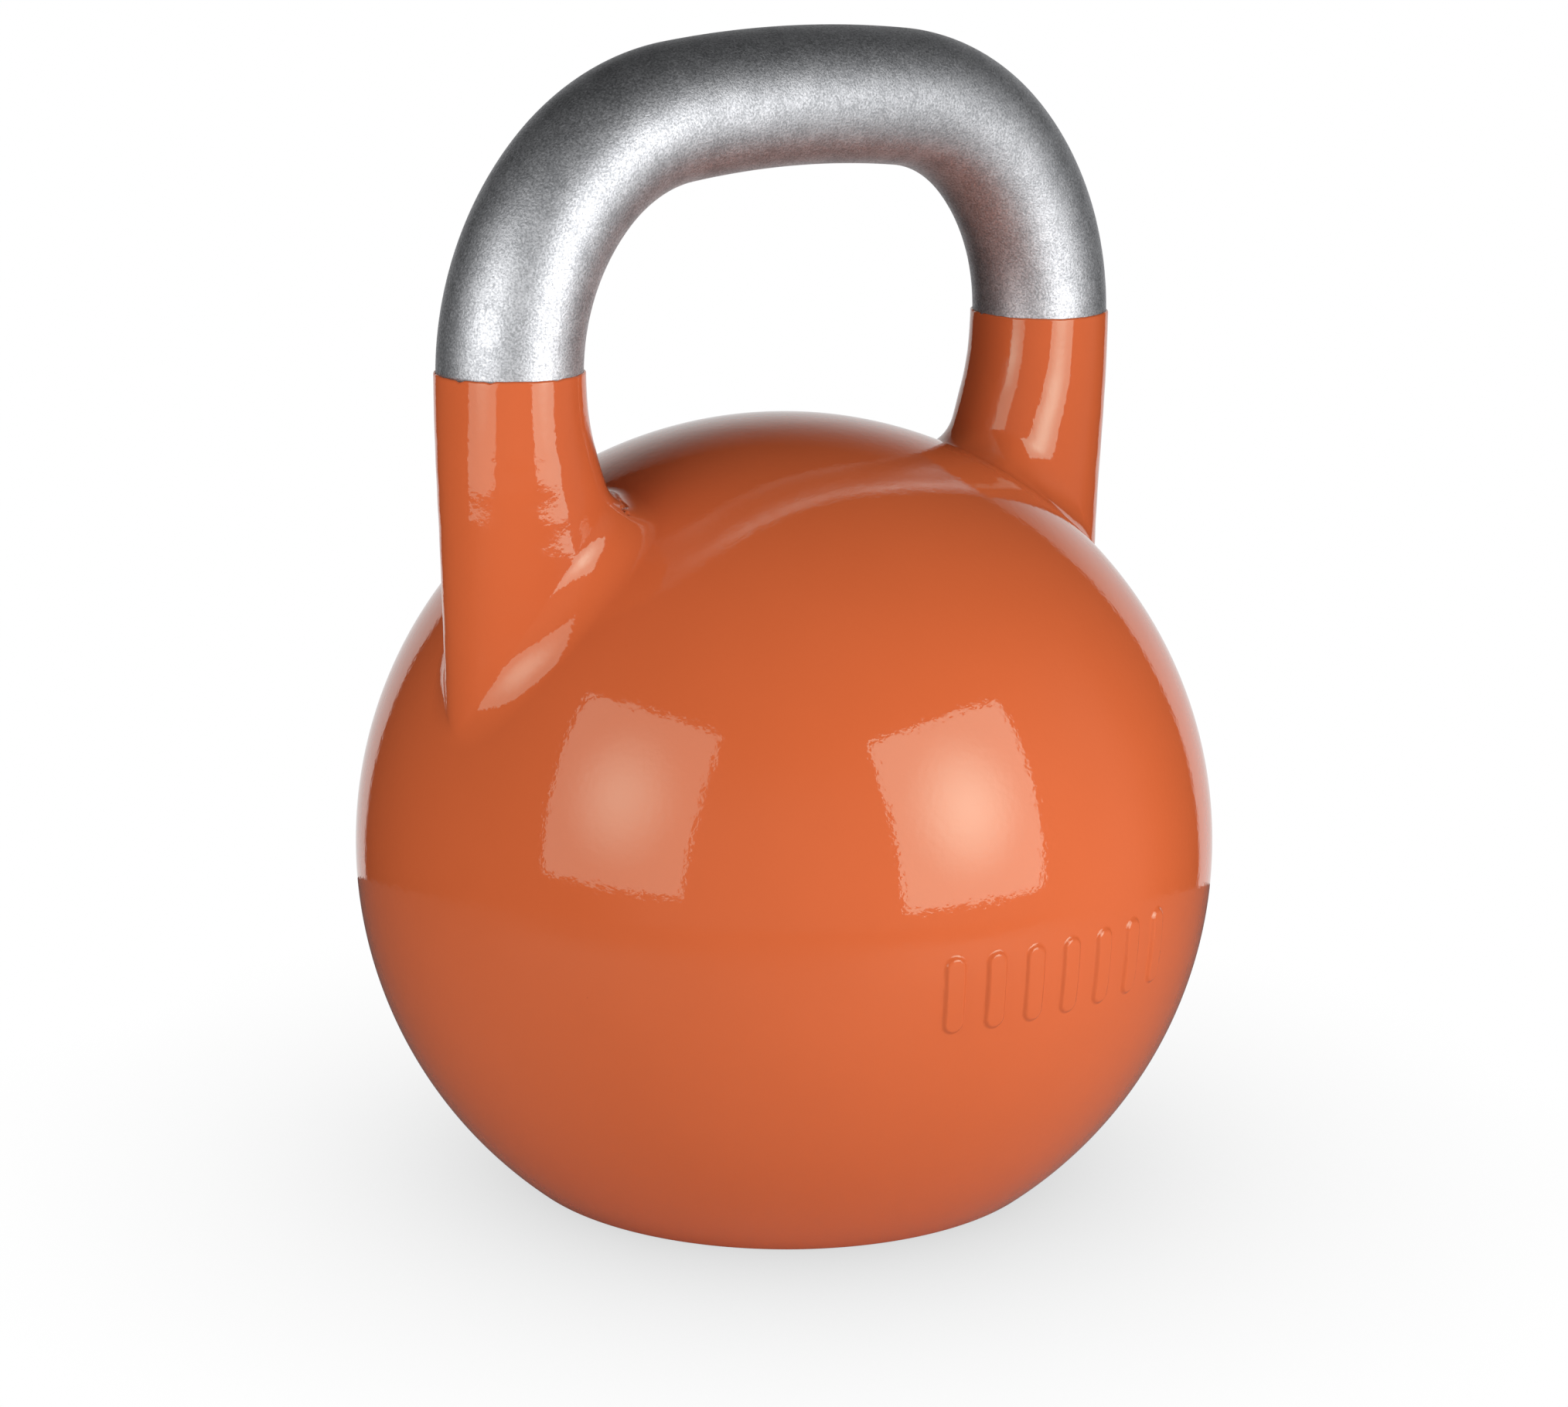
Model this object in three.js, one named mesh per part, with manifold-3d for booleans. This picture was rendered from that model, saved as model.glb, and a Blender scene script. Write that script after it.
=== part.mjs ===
// Competition kettlebell: a hollow steel ball on a flat base, a bent bare-steel grip bar and two
// painted horns that carry it. Millimetres, +Z up, +X along the handle, origin at the centre of the base.
import * as THREE from "three";
import { mergeVertices } from "three/addons/utils/BufferGeometryUtils.js";
import Module from "manifold-3d";

const wasm = await Module();
wasm.setup();

// ---- Driving dimensions ----
const HEIGHT = 280; // floor to the top of the grip
const CLEARANCE = 0.3; // between two pieces that meet

const BALL_RADIUS = 105;
const BALL_WALL = 8;
const BASE_RADIUS = 65.6; // of the flat that the base cuts off the ball
const BASE_THICKNESS = 18;
const BASE_RING_WIDTH = 18.6; // the ring to stand on, round the recess
const BASE_RECESS_DEPTH = 2;

const GRIP_RADIUS = 16.3; // at the crown
const GRIP_TAPER = 0.5; // how much thicker the bar is where it meets a horn
const CROWN_RADIUS = 290; // the slight arch of the grip
const CORNER_RADIUS = 50.2; // from the crown to 45 degrees
const SHOULDER_RADIUS = 59.6; // from 45 degrees to upright
const SPIGOT_RADIUS = 11; // turned ends of the bar, shrunk into the horns
const SPIGOT_LENGTH = 24;

const HORN_STEP = 0.5; // how far a horn's top stands proud of the bar
const HORN_INSET = 7.2; // from the ball's widest to the upright outside of a horn
const HORN_COLLAR = 11; // straight length of a horn below the bar
const HORN_BITE = 4; // extra depth, which the ball trims off
const HORN_FLARE = 0.36; // how fast its window side slopes towards the middle
const HORN_FLARE_BLEND = 3; // roundness of the change from straight to sloping
const HORN_SPREAD = 0.08; // how fast its front and back spread
const WELD_LEG = 11; // fillet weld round each horn, measured along both surfaces

const PLUG_RADIUS = 20;
const PLUG_END = 3; // how far it reaches into the hollow
const POCKET_MARGIN = 2; // free space round that end, in the ballast
const FLANGE_RIM = 7; // how far the flange reaches out from the plug
const FLANGE_THICKNESS = 5;
const SEAL_THICKNESS = 1.5;
const SOCKET_ACROSS_FLATS = 14;
const SOCKET_DEPTH = 6;

const TALLY_COUNT = 7; // raised bars on the front, one for each 4 kg
const TALLY_WIDTH = 4.6;
const TALLY_HEIGHT = 18;
const TALLY_PITCH = 10.4;
const TALLY_RELIEF = 0.8;
const TALLY_DROP = 8; // from the ball's centre down to the middle of the bars

const BALL_SIDES = 48; // a multiple of four, so that its widest points are corners
const BAR_SIDES = 32;
const BAR_STEPS = 44;

// ---- Places worked out from them ----
const ballCentreZ = Math.sqrt(BALL_RADIUS ** 2 - BASE_RADIUS ** 2);
const ballCentre = new THREE.Vector3(0, 0, ballCentreZ);
const gripEndRadius = GRIP_RADIUS + GRIP_TAPER;
const hornRadius = gripEndRadius + HORN_STEP;
const hornOutside = BALL_RADIUS - HORN_INSET;
const legX = hornOutside - hornRadius;

// Five arcs that run into each other: shoulder, corner, crown, corner, shoulder.
const midAngle = Math.PI / 4;
const shoulderX = legX - SHOULDER_RADIUS;
const cornerX = shoulderX + (SHOULDER_RADIUS - CORNER_RADIUS) * Math.sin(midAngle);
const crownAngle = Math.asin(cornerX / (CROWN_RADIUS - CORNER_RADIUS));
const crownCentre = new THREE.Vector2(0, HEIGHT - GRIP_RADIUS - CROWN_RADIUS);
const cornerCentre = crownCentre.clone().add(polar(CROWN_RADIUS - CORNER_RADIUS, crownAngle));
const shoulderCentre = cornerCentre.clone().add(polar(CORNER_RADIUS - SHOULDER_RADIUS, midAngle));
const barEnd = shoulderCentre.y;
const hornTop = barEnd - CLEARANCE;
const flareTop = hornTop - HORN_COLLAR;

const recessTop = BASE_RECESS_DEPTH;
const flangeRadius = PLUG_RADIUS + FLANGE_RIM;
const flangeTop = recessTop + FLANGE_THICKNESS;
const seatTop = flangeTop + SEAL_THICKNESS + 2 * CLEARANCE;

// ---- Helpers ----
// A vector of this length, turned clockwise from upright.
function polar(length, angle) {
  return new THREE.Vector2(length * Math.sin(angle), length * Math.cos(angle));
}

function toSolid(geometry) {
  const bare = geometry.index ? geometry.toNonIndexed() : geometry.clone();
  for (const name of Object.keys(bare.attributes)) {
    if (name !== "position") bare.deleteAttribute(name);
  }
  const merged = mergeVertices(bare, 1e-3);
  return new wasm.Manifold(
    new wasm.Mesh({
      numProp: 3,
      vertProperties: merged.attributes.position.array,
      triVerts: new Uint32Array(merged.index.array),
    }),
  );
}

function toGeometry(solid) {
  const mesh = solid.getMesh();
  const geometry = new THREE.BufferGeometry();
  geometry.setAttribute("position", new THREE.BufferAttribute(mesh.vertProperties, 3));
  geometry.setIndex(new THREE.BufferAttribute(mesh.triVerts, 1));
  const flat = geometry.toNonIndexed();
  flat.computeVertexNormals();
  return flat;
}

// Turns a profile of [radius, height] points, listed downwards on its outside, about the Z axis.
function turned(profile, sides) {
  const points = profile.map(([radius, z]) => new THREE.Vector2(radius, z)).reverse();
  return new THREE.LatheGeometry(points, sides).rotateX(Math.PI / 2);
}

// A closed cylinder whose every point is moved to place(t, angle, reach): t runs from 0 to 1 along it,
// and reach is 1 on its wall and 0 at the middle of its ends.
function reshaped(steps, place) {
  const geometry = new THREE.CylinderGeometry(1, 1, 1, BAR_SIDES, steps);
  const points = geometry.attributes.position;
  for (let i = 0; i < points.count; i++) {
    const [x, y, z] = [points.getX(i), points.getY(i), points.getZ(i)];
    const at = place(y + 0.5, Math.atan2(-z, x), Math.round(Math.hypot(x, z)));
    points.setXYZ(i, at.x, at.y, at.z);
  }
  return geometry;
}

function cylinder(radius, bottom, top, sides) {
  return turned([[0, top], [radius, top], [radius, bottom], [0, bottom]], sides);
}

// Points down a circle about the ball's centre, from its pole past its equator to a cut below it.
function ballProfile(radius, cutZ, steps) {
  const cut = Math.asin((cutZ - ballCentreZ) / radius);
  const at = (angle) => [radius * Math.cos(angle), ballCentreZ + radius * Math.sin(angle)];
  const points = [[0, ballCentreZ + radius]];
  for (let i = 1; i <= steps; i++) points.push(at((Math.PI / 2) * (1 - i / steps)));
  const lowerSteps = Math.ceil((steps * -cut) / (Math.PI / 2));
  for (let i = 1; i <= lowerSteps; i++) points.push(at((cut * i) / lowerSteps));
  return points;
}

function wholeBall(radius) {
  const profile = ballProfile(radius, ballCentreZ - 0.9 * radius, BALL_SIDES / 4);
  const bottom = profile[profile.length - 1][1];
  return toSolid(turned([...profile, [0, bottom]], BALL_SIDES));
}

// ---- Ball ----
function tallyBar(index) {
  const straight = TALLY_HEIGHT / 2 - TALLY_WIDTH / 2;
  const outline = new THREE.Shape();
  outline.absarc(0, straight, TALLY_WIDTH / 2, 0, Math.PI);
  outline.absarc(0, -straight, TALLY_WIDTH / 2, Math.PI, 2 * Math.PI);
  const depth = 2 * BALL_WALL;
  const bar = new THREE.ExtrudeGeometry(outline, { depth, bevelEnabled: false, curveSegments: 3 });
  const turn = ((index - (TALLY_COUNT - 1) / 2) * TALLY_PITCH) / BALL_RADIUS;
  const drop = Math.asin(TALLY_DROP / BALL_RADIUS);
  bar.translate(0, 0, BALL_RADIUS - depth / 2);
  bar.rotateX(Math.PI / 2 + drop);
  bar.rotateZ(turn);
  return toSolid(bar.translate(0, 0, ballCentreZ));
}

function ballShell() {
  const hollow = ballProfile(BALL_RADIUS - BALL_WALL, BASE_THICKNESS, BALL_SIDES / 6).reverse();
  const recess = BASE_RADIUS - BASE_RING_WIDTH;
  const seat = flangeRadius + CLEARANCE;
  const hole = PLUG_RADIUS + CLEARANCE;
  const profile = [
    ...ballProfile(BALL_RADIUS, 0, BALL_SIDES / 4),
    [recess, 0],
    [recess, recessTop],
    [seat, recessTop],
    [seat, seatTop],
    [hole, seatTop],
    [hole, BASE_THICKNESS],
    ...hollow,
  ];
  let shell = toSolid(turned(profile, BALL_SIDES));
  const skin = wholeBall(BALL_RADIUS + TALLY_RELIEF);
  const inside = wholeBall(BALL_RADIUS - BALL_WALL / 2);
  for (let i = 0; i < TALLY_COUNT; i++) {
    shell = shell.add(tallyBar(i).intersect(skin).subtract(inside));
  }
  return toGeometry(shell);
}

// Shot and resin poured into the hollow, with a pocket where the plug's end stands.
function ballastCore() {
  const radius = BALL_RADIUS - BALL_WALL - CLEARANCE;
  const bottom = BASE_THICKNESS + CLEARANCE;
  const pocket = PLUG_RADIUS + POCKET_MARGIN;
  const pocketTop = BASE_THICKNESS + PLUG_END + POCKET_MARGIN;
  const profile = [
    ...ballProfile(radius, bottom, BALL_SIDES / 6),
    [pocket, bottom],
    [pocket, pocketTop],
    [0, pocketTop],
  ];
  return turned(profile, BALL_SIDES);
}

// ---- Core plug and its seal ----
function corePlug() {
  const plugTop = BASE_THICKNESS + PLUG_END;
  const profile = [
    [0, plugTop],
    [PLUG_RADIUS, plugTop],
    [PLUG_RADIUS, flangeTop],
    [flangeRadius, flangeTop],
    [flangeRadius, recessTop],
    [0, recessTop],
  ];
  const socket = new THREE.CylinderGeometry(
    SOCKET_ACROSS_FLATS / Math.sqrt(3), SOCKET_ACROSS_FLATS / Math.sqrt(3), 2 * SOCKET_DEPTH, 6,
  );
  socket.rotateX(Math.PI / 2).translate(0, 0, recessTop);
  return toGeometry(toSolid(turned(profile, BALL_SIDES / 2)).subtract(toSolid(socket)));
}

function plugSeal() {
  const bottom = flangeTop + CLEARANCE;
  const top = bottom + SEAL_THICKNESS;
  const outer = flangeRadius - CLEARANCE;
  const inner = PLUG_RADIUS + CLEARANCE;
  const section = [[inner, top], [outer, top], [outer, bottom], [inner, bottom], [inner, top]];
  return turned(section, BALL_SIDES / 2);
}

// ---- Horns ----
// A horn's section at a height is an ellipse whose outside stays upright while its window side slopes.
function hornSection(z) {
  const ramp = (below) => (below + Math.hypot(below, HORN_FLARE_BLEND)) / 2;
  const grown = Math.max(0, ramp(flareTop - z) - ramp(flareTop - hornTop));
  const halfX = hornRadius + (HORN_FLARE * grown) / 2;
  return { x: hornOutside - halfX, halfX, halfY: hornRadius + HORN_SPREAD * grown };
}

// A point on the horn's surface, or out from it by an offset.
function hornPoint(angle, z, offset = 0) {
  const s = hornSection(z);
  const normal = new THREE.Vector2(Math.cos(angle) / s.halfX, Math.sin(angle) / s.halfY).normalize();
  return new THREE.Vector3(
    s.x + s.halfX * Math.cos(angle) + offset * normal.x,
    s.halfY * Math.sin(angle) + offset * normal.y,
    z,
  );
}

function horn(side) {
  const buried = ballCentreZ + Math.sqrt(BALL_RADIUS ** 2 - hornOutside ** 2) - HORN_BITE;
  const body = reshaped(10, (t, angle, reach) => {
    const z = buried + t * (hornTop - buried);
    const s = hornSection(z);
    const [x, y] = [s.halfX * Math.cos(angle), s.halfY * Math.sin(angle)];
    return new THREE.Vector3(s.x + reach * x, reach * y, z);
  });
  const socket = cylinder(
    SPIGOT_RADIUS + CLEARANCE, hornTop - SPIGOT_LENGTH, hornTop + 1, BAR_SIDES,
  ).translate(legX, 0, 0);
  const solid = toSolid(body).subtract(wholeBall(BALL_RADIUS + CLEARANCE)).subtract(toSolid(socket));
  return toGeometry(side < 0 ? solid.rotate([0, 0, 180]) : solid);
}

// Where a line down the horn's surface, at this angle round it, reaches the ball.
function rootHeight(angle) {
  let low = ballCentreZ;
  let high = hornTop;
  for (let i = 0; i < 40; i++) {
    const z = (low + high) / 2;
    if (hornPoint(angle, z).distanceTo(ballCentre) < BALL_RADIUS) low = z;
    else high = z;
  }
  return high;
}

// One closed section of the weld: up the horn, hollow face, ball, and back into the corner.
function weldSection(angle) {
  const z = rootHeight(angle);
  const root = hornPoint(angle, z);
  const outward = hornPoint(angle, z, 1).sub(root);
  const radial = root.clone().sub(ballCentre).normalize();
  const away = outward.clone().addScaledVector(radial, -outward.dot(radial)).normalize();
  const onBall = root.clone().addScaledVector(away, WELD_LEG).sub(ballCentre);
  onBall.setLength(BALL_RADIUS + CLEARANCE).add(ballCentre);
  const onHorn = hornPoint(angle, Math.min(z + WELD_LEG, hornTop - 1), CLEARANCE);
  const corner = hornPoint(angle, z, CLEARANCE).sub(ballCentre);
  corner.setLength(Math.max(corner.length(), BALL_RADIUS + CLEARANCE)).add(ballCentre);
  const face = new THREE.QuadraticBezierCurve3(onHorn, corner.clone(), onBall);
  return [...face.getPoints(5), corner];
}

function hornWeld(side) {
  const around = 40;
  const rings = [];
  for (let i = 0; i < around; i++) rings.push(weldSection((2 * Math.PI * i) / around));
  const count = rings[0].length;
  const index = [];
  for (let i = 0; i < around; i++) {
    for (let j = 0; j < count; j++) {
      const [a, b] = [i * count + j, i * count + ((j + 1) % count)];
      const [c, d] = [((i + 1) % around) * count + j, ((i + 1) % around) * count + ((j + 1) % count)];
      index.push(a, b, c, b, d, c);
    }
  }
  const ring = new THREE.BufferGeometry().setFromPoints(rings.flat());
  ring.setIndex(index);
  if (side < 0) ring.rotateZ(Math.PI);
  return ring;
}

// ---- Grip ----
// An arc in the XZ plane, drawn with its angle from upright.
class HandleArc extends THREE.Curve {
  constructor(centre, radius, from, to) {
    super();
    Object.assign(this, { centre, radius, from, to });
  }
  getPoint(t, target = new THREE.Vector3()) {
    const at = polar(this.radius, this.from + (this.to - this.from) * t);
    return target.set(this.centre.x + at.x, 0, this.centre.y + at.y);
  }
}

function mirrored(centre) {
  return new THREE.Vector2(-centre.x, centre.y);
}

function handlePath() {
  const path = new THREE.CurvePath();
  path.add(new HandleArc(mirrored(shoulderCentre), SHOULDER_RADIUS, -Math.PI / 2, -midAngle));
  path.add(new HandleArc(mirrored(cornerCentre), CORNER_RADIUS, -midAngle, -crownAngle));
  path.add(new HandleArc(crownCentre, CROWN_RADIUS, -crownAngle, crownAngle));
  path.add(new HandleArc(cornerCentre, CORNER_RADIUS, crownAngle, midAngle));
  path.add(new HandleArc(shoulderCentre, SHOULDER_RADIUS, midAngle, Math.PI / 2));
  return path;
}

function gripBar() {
  const path = handlePath();
  const bent = reshaped(BAR_STEPS, (t, angle, reach) => {
    const along = path.getTangentAt(t);
    const up = new THREE.Vector3(-along.z, 0, along.x);
    const taper = (2 * t - 1) ** 2;
    const radius = reach * THREE.MathUtils.lerp(GRIP_RADIUS, gripEndRadius, taper);
    const out = up.multiplyScalar(Math.cos(angle)).add(new THREE.Vector3(0, -Math.sin(angle), 0));
    return path.getPointAt(t).addScaledVector(out, radius);
  });
  let bar = toSolid(bent);
  for (const side of [-1, 1]) {
    const spigot = cylinder(SPIGOT_RADIUS, barEnd - SPIGOT_LENGTH, barEnd + 4, BAR_SIDES);
    bar = bar.add(toSolid(spigot.translate(side * legX, 0, 0)));
  }
  return toGeometry(bar);
}

// ---- Assembly ----
function finish(color, roughness, metalness) {
  return new THREE.MeshStandardMaterial({ color, roughness, metalness });
}

const enamel = finish(0xd9673a, 0.18, 0);
const bareSteel = finish(0x9a9ca0, 0.5, 1);
const zincSteel = finish(0xb4b6b4, 0.42, 1);
const blackRubber = finish(0x1c1c1d, 0.8, 0);
const shotResin = finish(0x55565a, 0.75, 0.4);

function piece(name, geometry, material) {
  const mesh = new THREE.Mesh(geometry, material);
  mesh.name = name;
  return mesh;
}

const kettlebell = new THREE.Group();
const ball = new THREE.Group();
ball.add(
  piece("ball_shell", ballShell(), enamel),
  piece("ballast_core", ballastCore(), shotResin),
  piece("core_plug", corePlug(), zincSteel.clone()),
  piece("plug_seal", plugSeal(), blackRubber),
);
const handle = new THREE.Group();
handle.add(piece("grip_bar", gripBar(), bareSteel));
for (const [name, side] of [["left", -1], ["right", 1]]) {
  handle.add(
    piece(`${name}_horn`, horn(side), enamel.clone()),
    piece(`${name}_horn_weld`, hornWeld(side), enamel.clone()),
  );
}
kettlebell.add(ball, handle);

export default kettlebell;
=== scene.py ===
"""Looks of a competition kettlebell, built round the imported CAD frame.

Lengths are in metres, and the angles of the camera and the lights are in degrees.
"""

import math

import bmesh
import bpy
import numpy as np
from mathutils import Matrix, Vector


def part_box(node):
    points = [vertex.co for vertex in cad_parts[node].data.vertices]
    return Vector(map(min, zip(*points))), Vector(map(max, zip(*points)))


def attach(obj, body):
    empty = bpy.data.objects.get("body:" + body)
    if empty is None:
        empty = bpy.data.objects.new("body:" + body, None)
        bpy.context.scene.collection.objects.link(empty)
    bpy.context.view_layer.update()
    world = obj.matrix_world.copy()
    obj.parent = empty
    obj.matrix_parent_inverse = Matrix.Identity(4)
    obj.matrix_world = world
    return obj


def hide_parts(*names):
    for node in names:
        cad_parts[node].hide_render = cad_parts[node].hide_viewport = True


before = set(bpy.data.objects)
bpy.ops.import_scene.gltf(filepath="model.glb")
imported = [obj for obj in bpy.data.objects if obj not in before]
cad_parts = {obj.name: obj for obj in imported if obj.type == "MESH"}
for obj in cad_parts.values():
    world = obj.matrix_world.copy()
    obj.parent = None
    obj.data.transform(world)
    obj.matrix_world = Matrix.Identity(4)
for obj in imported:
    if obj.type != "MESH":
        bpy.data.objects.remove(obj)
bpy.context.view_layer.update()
scene = bpy.context.scene
MM = 0.001

# ---- Sizes: the frame gives the outer ones, and the rest repeat the CAD source ----
BALL_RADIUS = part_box("ball_shell")[1].x
BALL_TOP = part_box("ball_shell")[1].z
BALL_CENTRE = np.array([0.0, 0.0, BALL_TOP - BALL_RADIUS])
BASE_RADIUS = math.sqrt(BALL_RADIUS**2 - BALL_CENTRE[2] ** 2)
HORN_OUTSIDE, _, HORN_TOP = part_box("right_horn")[1]
GRIP_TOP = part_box("grip_bar")[1].z
SPIGOT_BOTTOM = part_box("grip_bar")[0].z
HORN_FOOT = BALL_CENTRE[2] + 20 * MM  # a horn ends here, inside the ball

CLEARANCE = 0.3 * MM
BALL_WALL = 8 * MM
BASE_THICKNESS = 18 * MM
BASE_RING_WIDTH = 18.6 * MM
BASE_EDGE = 2.5 * MM  # rounding between the ball and the standing ring
SMALL_EDGE = 0.6 * MM  # rounding of the recess and of the plug's seat
RECESS_RADIUS = BASE_RADIUS - BASE_RING_WIDTH
RECESS_DEPTH = 2 * MM
GRIP_RADIUS = 16.3 * MM
GRIP_TAPER = 0.5 * MM  # added to the radius from the middle to either end
CROWN_RADIUS = 290 * MM
CORNER_RADIUS = 50.2 * MM
SHOULDER_RADIUS = 59.6 * MM
SPIGOT_RADIUS = 11 * MM
GRIP_END_RADIUS = GRIP_RADIUS + GRIP_TAPER
HORN_STEP = 0.5 * MM  # how far a horn stands out past the bar's end
HORN_RADIUS = GRIP_END_RADIUS + HORN_STEP
HORN_COLLAR = 11 * MM  # the straight top of a horn
HORN_FLARE = 0.4  # growth in width towards the window, for each metre below the collar
HORN_SPREAD = 0.015  # the same to the front, and to the back
HORN_LEAN = 0.9 * MM  # how far a horn's outside leans inwards towards the ball
LEAN_HEIGHT = 50 * MM
FLARE_BLEND = 8 * MM  # length over which the flare sets in
FLARE_TOP = HORN_TOP - HORN_COLLAR
LEG_X = HORN_OUTSIDE - HORN_RADIUS
PLUG_RADIUS = 20 * MM
PLUG_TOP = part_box("core_plug")[1].z
FLANGE_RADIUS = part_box("core_plug")[1].x
FLANGE_THICKNESS = 5 * MM
SEAL_LOW, SEAL_HIGH = (corner.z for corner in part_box("plug_seal"))
SEAT_TOP = SEAL_HIGH + CLEARANCE
SOCKET_APOTHEM = 7 * MM  # half the size across its flats
SOCKET_DEPTH = 6 * MM
PLUG_EDGE = 0.5 * MM

TALLY_COUNT = 7
TALLY_WIDTH = 4.6 * MM
TALLY_HEIGHT = 18 * MM
TALLY_PITCH = 10.4 * MM
TALLY_RELIEF = 0.75 * MM
TALLY_DROP = 8 * MM  # how far the row is below the ball's middle
TALLY_EDGE = 0.55 * MM  # half the width of a bar's sloping edge

FILLET_RADIUS = 10.5 * MM  # between horn and ball, all round
WINDOW_SHARPER = 0.3  # share taken off it on the side of the handle's window
WALL_FADE = 10 * MM  # height over which a horn's wall turns from true to uneven
WALL_WAVES = ((0.07 * MM, 24 * MM, 3), (0.022 * MM, 9 * MM, 8))  # height, wavelength and seed
CREASE_DEPTH = 0.6 * MM
CREASE_WIDTH = 0.55 * MM
CREASE_WANDER = 0.8 * MM
PAINT_WAVE = 0.1 * MM  # height of the waves in the paint's top edge
PAINT_CHIPS = 9  # small chips in it, round each horn

VOXEL = 1.5 * MM
AROUND = 256  # points round a turned ring
LOW_CUT = 12 * MM  # below this the shell is turned rings
HIGH_CUT = HORN_TOP - 7 * MM  # above this each horn is turned rings
PAINT_LINE = HORN_TOP + 1.3 * MM  # the paint laps over the joint onto the bar


# ---- The painted surface as a distance field ----
def smooth_step(low, high, value):
    t = np.clip((value - low) / (high - low), 0, 1)
    return t * t * (3 - 2 * t)


def waves(p, wavelength, seed, count=5):
    """Smooth seeded noise from plane waves, about -1 to 1."""
    rng = np.random.default_rng(seed)
    total = np.zeros(len(p))
    for _ in range(count):
        direction = rng.normal(size=3)
        direction *= 2 * math.pi / (wavelength * rng.uniform(0.7, 1.4) * np.linalg.norm(direction))
        total += np.sin(p @ direction + rng.uniform(0, 2 * math.pi))
    return total / math.sqrt(count)


def ramp(below):
    """Near 0 above the flare's start and near the depth below it, with a smooth bend between."""
    return (below + np.hypot(below, FLARE_BLEND)) / 2


def horn_section(z):
    """Centre x and half widths of a horn's elliptical section at a height."""
    grown = np.maximum(0, ramp(FLARE_TOP - z) - ramp(FLARE_TOP - HORN_TOP))
    lean = HORN_LEAN * smooth_step(FLARE_TOP, FLARE_TOP - LEAN_HEIGHT, z)
    half_x = HORN_RADIUS + (HORN_FLARE * grown - lean) / 2
    return HORN_OUTSIDE - lean - half_x, half_x, HORN_RADIUS + HORN_SPREAD * grown


def tally_height(offset):
    """Relief of the bars on the front, from a point's offset from the ball's centre."""
    relief = np.zeros(len(offset))
    near = (offset[:, 1] < -0.5 * BALL_RADIUS) & (np.abs(offset[:, 2]) < 3 * TALLY_HEIGHT)
    drop = math.asin(TALLY_DROP / BALL_RADIUS)
    straight = (TALLY_HEIGHT - TALLY_WIDTH) / 2
    for i in range(TALLY_COUNT):
        turn = (i - (TALLY_COUNT - 1) / 2) * TALLY_PITCH / BALL_RADIUS
        across = np.array([math.cos(turn), math.sin(turn), 0])
        facing = np.array([math.sin(turn), -math.cos(turn), 0]) * math.cos(drop)
        facing[2] = -math.sin(drop)
        up = np.cross(facing, across)
        x = offset[near] @ across
        y = np.maximum(np.abs(offset[near] @ up) - straight, 0)
        edge = np.hypot(x, y) - TALLY_WIDTH / 2
        bar = TALLY_RELIEF * (1 - smooth_step(-TALLY_EDGE, TALLY_EDGE, edge))
        relief[near] = np.maximum(relief[near], bar)
    return relief


def horn_distance(p):
    """Signed distance to the nearer horn, and how far its wall faces outward and towards +Y, from -1 to 1."""
    centre_x, half_x, half_y = horn_section(p[:, 2])
    u = (np.abs(p[:, 0]) - centre_x) / half_x
    v = p[:, 1] / half_y
    scaled = np.hypot(u, v)
    slope = np.maximum(np.hypot(u / half_x, v / half_y), 1e-9)
    horn = scaled * (scaled - 1) / slope
    uneven = smooth_step(HIGH_CUT, HIGH_CUT - WALL_FADE, p[:, 2])
    horn += uneven * sum(height * waves(p, wavelength, seed) for height, wavelength, seed in WALL_WAVES)
    horn = np.maximum(horn, HORN_FOOT - p[:, 2])
    return horn, (u / half_x) / slope, (v / half_y) / slope


def ball_and_horn(p):
    """Signed distances to the ball and the nearer horn, the reach of the fillet, and the horn's outward part.

    The fillet is that of a rolling ball, so its reach follows the angle between the two surfaces.
    """
    offset = p - BALL_CENTRE
    radial = np.linalg.norm(offset, axis=1)
    ball = radial - BALL_RADIUS - tally_height(offset)
    horn, outward, across = horn_distance(p)
    rising = HORN_FLARE / 2 * (outward**2 - outward)
    facing = np.stack([np.sign(p[:, 0]) * outward, across, rising], 1)
    facing /= np.linalg.norm(facing, axis=1)[:, None]
    turn = (facing * offset).sum(1) / radial
    reach = FILLET_RADIUS * (1 - turn) * (1 - WINDOW_SHARPER * smooth_step(-0.6, -1, outward))
    return ball, horn, reach, outward


def surface(p):
    """Signed distance to the painted casting: ball, horns and the fillets between them."""
    ball, horn, reach, outward = ball_and_horn(p)
    a = np.maximum(reach - ball, 0)
    b = np.maximum(reach - horn, 0)
    joined = np.maximum(reach, np.minimum(ball, horn)) - np.hypot(a, b)
    return joined + root_creases(p, ball, horn, outward)


def root_creases(p, ball, horn, outward):
    """Small folds left by the foundry along the window side of the left root."""
    window = smooth_step(-0.35, -0.75, outward) * (p[:, 0] < 0)
    gate = smooth_step(0.1, 0.7, waves(p, 9 * MM, seed=11))
    wander = CREASE_WANDER * waves(p, 5 * MM, seed=5)
    groove = np.exp(-(((ball - horn + wander) / CREASE_WIDTH) ** 2))
    return CREASE_DEPTH * window * gate * groove


def gradient(p, step=0.02 * MM):
    slope = np.empty_like(p)
    for axis in range(3):
        nudge = np.zeros(3)
        nudge[axis] = step
        slope[:, axis] = (surface(p + nudge) - surface(p - nudge)) / (2 * step)
    return slope


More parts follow.
